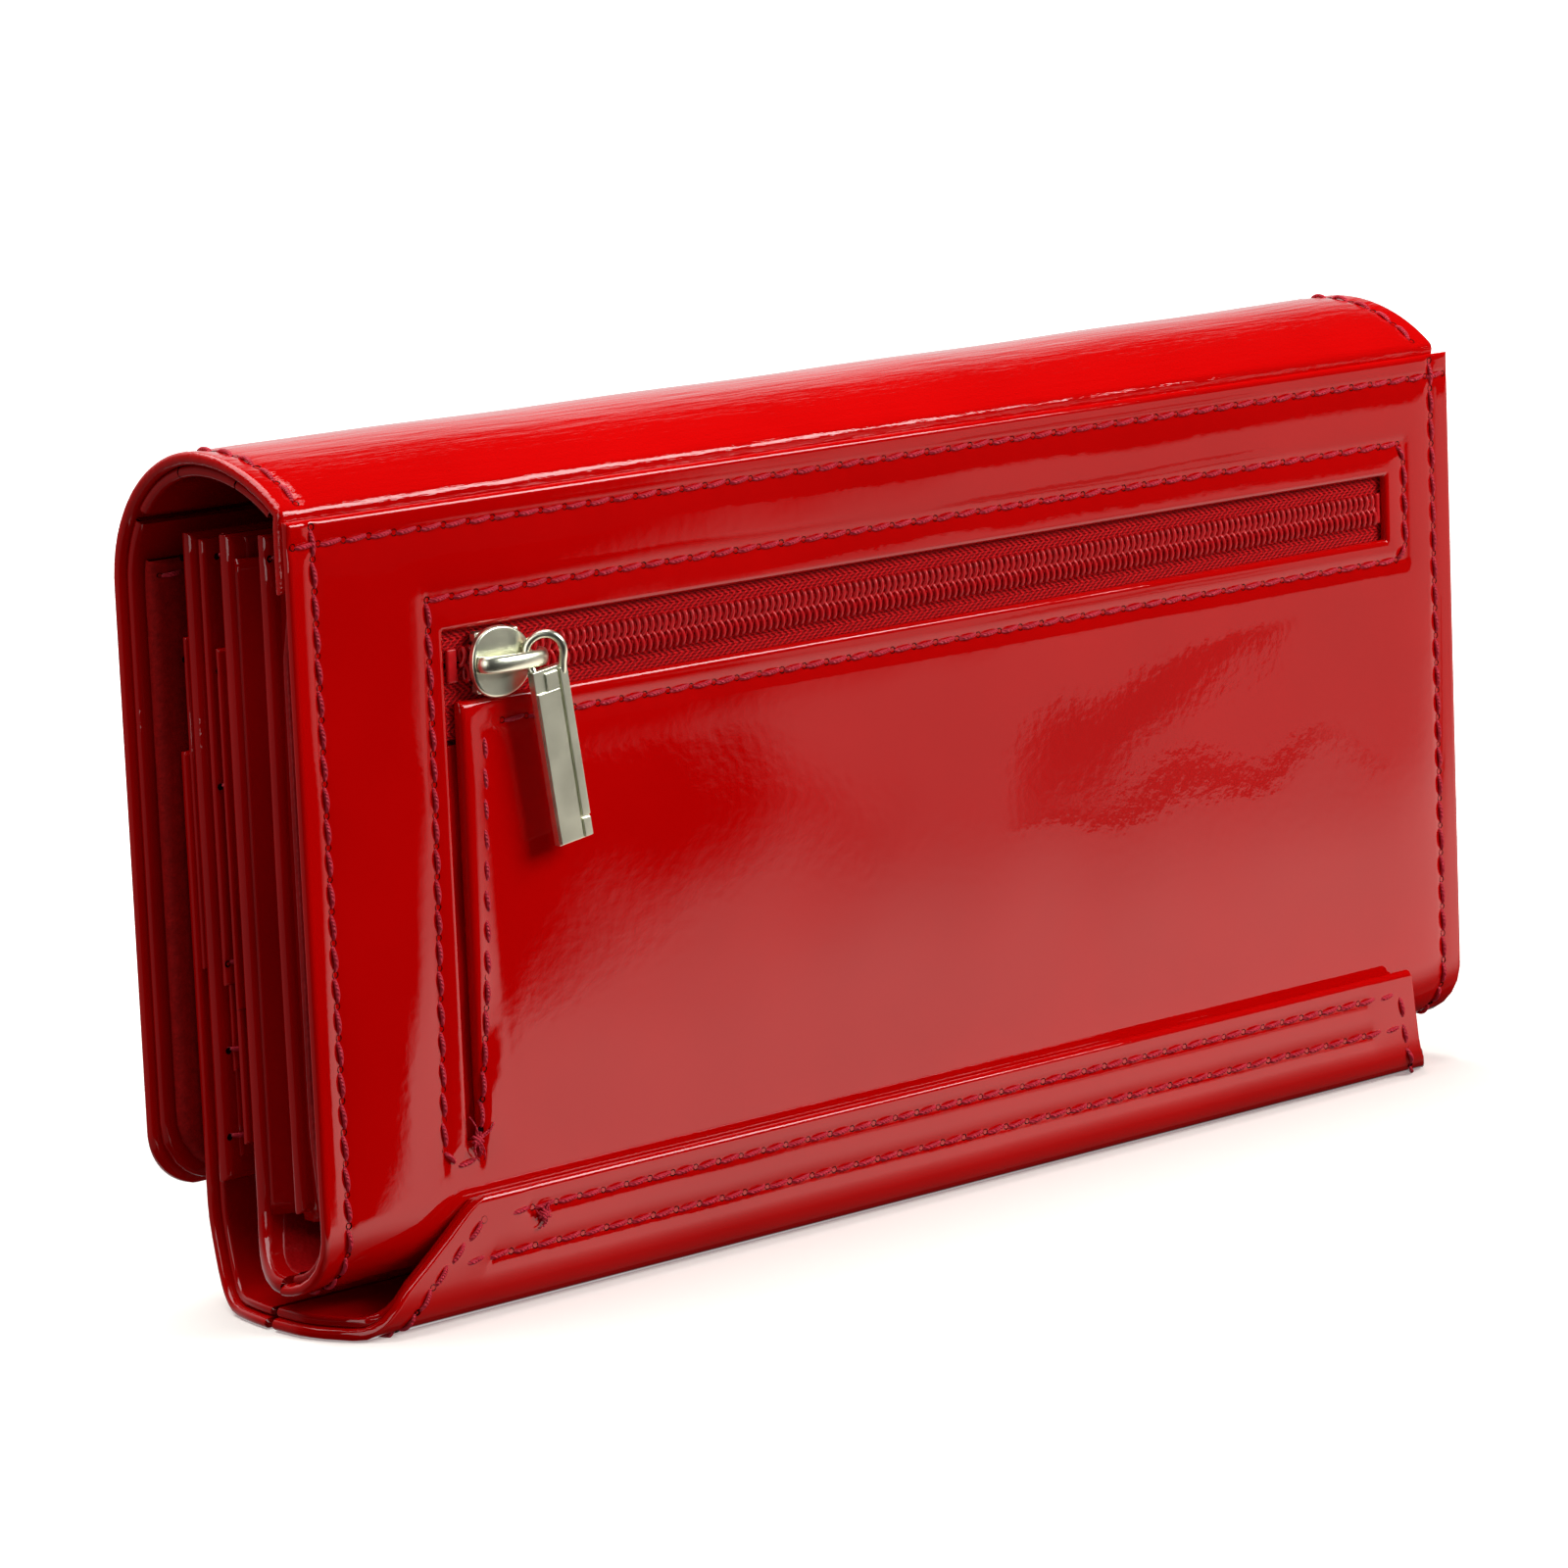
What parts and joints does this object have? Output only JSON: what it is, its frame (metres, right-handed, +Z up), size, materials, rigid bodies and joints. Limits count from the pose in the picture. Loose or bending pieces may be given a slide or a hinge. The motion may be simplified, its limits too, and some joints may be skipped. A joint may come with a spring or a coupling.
{
  "type": "flap-over long wallet",
  "caption": "Long flap-over wallet in patent leather with a zipped coin pocket in its back face, a card leaf and note pockets.",
  "frame": {"origin": "middle of the box round the closed wallet, at the surface it stands on", "axes": "+X along the wallet's length, +Y from the zipped face to the flap, +Z up"},
  "size_m": [0.192, 0.0384, 0.1012],
  "materials": {
    "patent_leather": "high-gloss patent, faint lengthwise creases",
    "lining_leather": "satin, fine grain",
    "board_core": "matt bonded leather",
    "pocket_cloth": "plain woven",
    "zip_tape": "herringbone woven",
    "zip_coil": "glossy",
    "polished_metal": "polished pale gold plate",
    "magnet_steel": "brushed"
  },
  "bodies": {
    "body": {"back_panel": "patent_leather", "slit_gusset": "lining_leather", "zip_tape_upper": "zip_tape", "zip_tape_lower": "zip_tape", "zip_coil_upper": "zip_coil", "zip_coil_lower": "zip_coil", "zip_stops": "polished_metal", "coin_pocket_bag": "pocket_cloth", "back_lining": "lining_leather", "body_bottom_fold": "patent_leather", "bottom_fold_lining": "lining_leather", "leaf_root_strip": "patent_leather", "leaf_root_lining": "lining_leather", "leaf_bottom_wrap": "patent_leather", "leaf_wrap_lining": "lining_leather", "flap_root": "patent_leather", "gusset_back": "lining_leather"},
    "arch_rear": {"flap_arch_rear": "patent_leather", "flap_arch_rear_lining": "lining_leather"},
    "arch_top": {"flap_arch_top": "patent_leather", "flap_arch_top_lining": "lining_leather"},
    "arch_front": {"flap_arch_front": "patent_leather", "flap_arch_front_lining": "lining_leather"},
    "flap": {"flap_front": "patent_leather", "flap_front_lining": "lining_leather", "flap_slip_pocket": "lining_leather", "flap_magnet": "magnet_steel"},
    "leaf": {"leaf_core": "board_core", "leaf_magnet": "magnet_steel", "leaf_outer_slot_1": "patent_leather", "leaf_outer_slot_2": "patent_leather", "leaf_outer_slot_3": "patent_leather", "leaf_inner_slot_1": "lining_leather", "leaf_inner_slot_2": "lining_leather", "leaf_inner_slot_3": "lining_leather"},
    "divider_wall": {"divider": "lining_leather", "gusset_divider_rear": "lining_leather", "gusset_divider_front": "lining_leather"},
    "front_pocket_wall": {"front_wall": "patent_leather", "front_wall_lining": "lining_leather", "body_card_slot_1": "patent_leather", "body_card_slot_2": "patent_leather", "body_card_slot_3": "patent_leather", "gusset_front": "lining_leather"},
    "slider": {"zip_slider": "polished_metal"},
    "puller": {"zip_puller": "polished_metal"}
  },
  "joints": [
    {"name": "flap_roll_1", "type": "hinge", "parent": "body", "child": "arch_rear", "pos_m": [0, -0.01048, 0.09731], "axis": [1, 0, 0], "range_deg": [0, 45]},
    {"name": "flap_roll_2", "type": "hinge", "parent": "arch_rear", "child": "arch_top", "pos_m": [0, 0.00055, 0.10111], "axis": [1, 0, 0], "range_deg": [0, 45]},
    {"name": "flap_roll_3", "type": "hinge", "parent": "arch_top", "child": "arch_front", "pos_m": [0, 0.01139, 0.09869], "axis": [1, 0, 0], "range_deg": [0, 45]},
    {"name": "flap_roll_4", "type": "hinge", "parent": "arch_front", "child": "flap", "pos_m": [0, 0.01784, 0.09115], "axis": [1, 0, 0], "range_deg": [0, 45]},
    {"name": "leaf_open", "type": "hinge", "parent": "body", "child": "leaf", "pos_m": [0, 0.01345, 0.01315], "axis": [-1, 0, 0], "range_deg": [0, 33.75]},
    {"name": "divider_tilt", "type": "hinge", "parent": "body", "child": "divider_wall", "pos_m": [0, 0.00425, 0.017], "axis": [-1, 0, 0], "range_deg": [0, 6.75]},
    {"name": "front_wall_tilt", "type": "hinge", "parent": "body", "child": "front_pocket_wall", "pos_m": [0, 0.00425, 0.017], "axis": [-1, 0, 0], "range_deg": [0, 13.5]},
    {"name": "zip_slide", "type": "slide", "parent": "body", "child": "slider", "axis": [1, 0, 0], "range_m": [0, 0.14]},
    {"name": "puller_swing", "type": "hinge", "parent": "slider", "child": "puller", "pos_m": [-0.0644, -0.01755, 0.0751], "axis": [-1, 0, 0], "range_deg": [0, 170]}
  ],
  "couplings": [
    {"joint": "flap_roll_2", "follows": "flap_roll_1", "ratio": 1},
    {"joint": "flap_roll_3", "follows": "flap_roll_1", "ratio": 1},
    {"joint": "flap_roll_4", "follows": "flap_roll_1", "ratio": 1},
    {"joint": "leaf_open", "follows": "flap_roll_1", "ratio": 0.75},
    {"joint": "divider_tilt", "follows": "flap_roll_1", "ratio": 0.15},
    {"joint": "front_wall_tilt", "follows": "flap_roll_1", "ratio": 0.3}
  ]
}
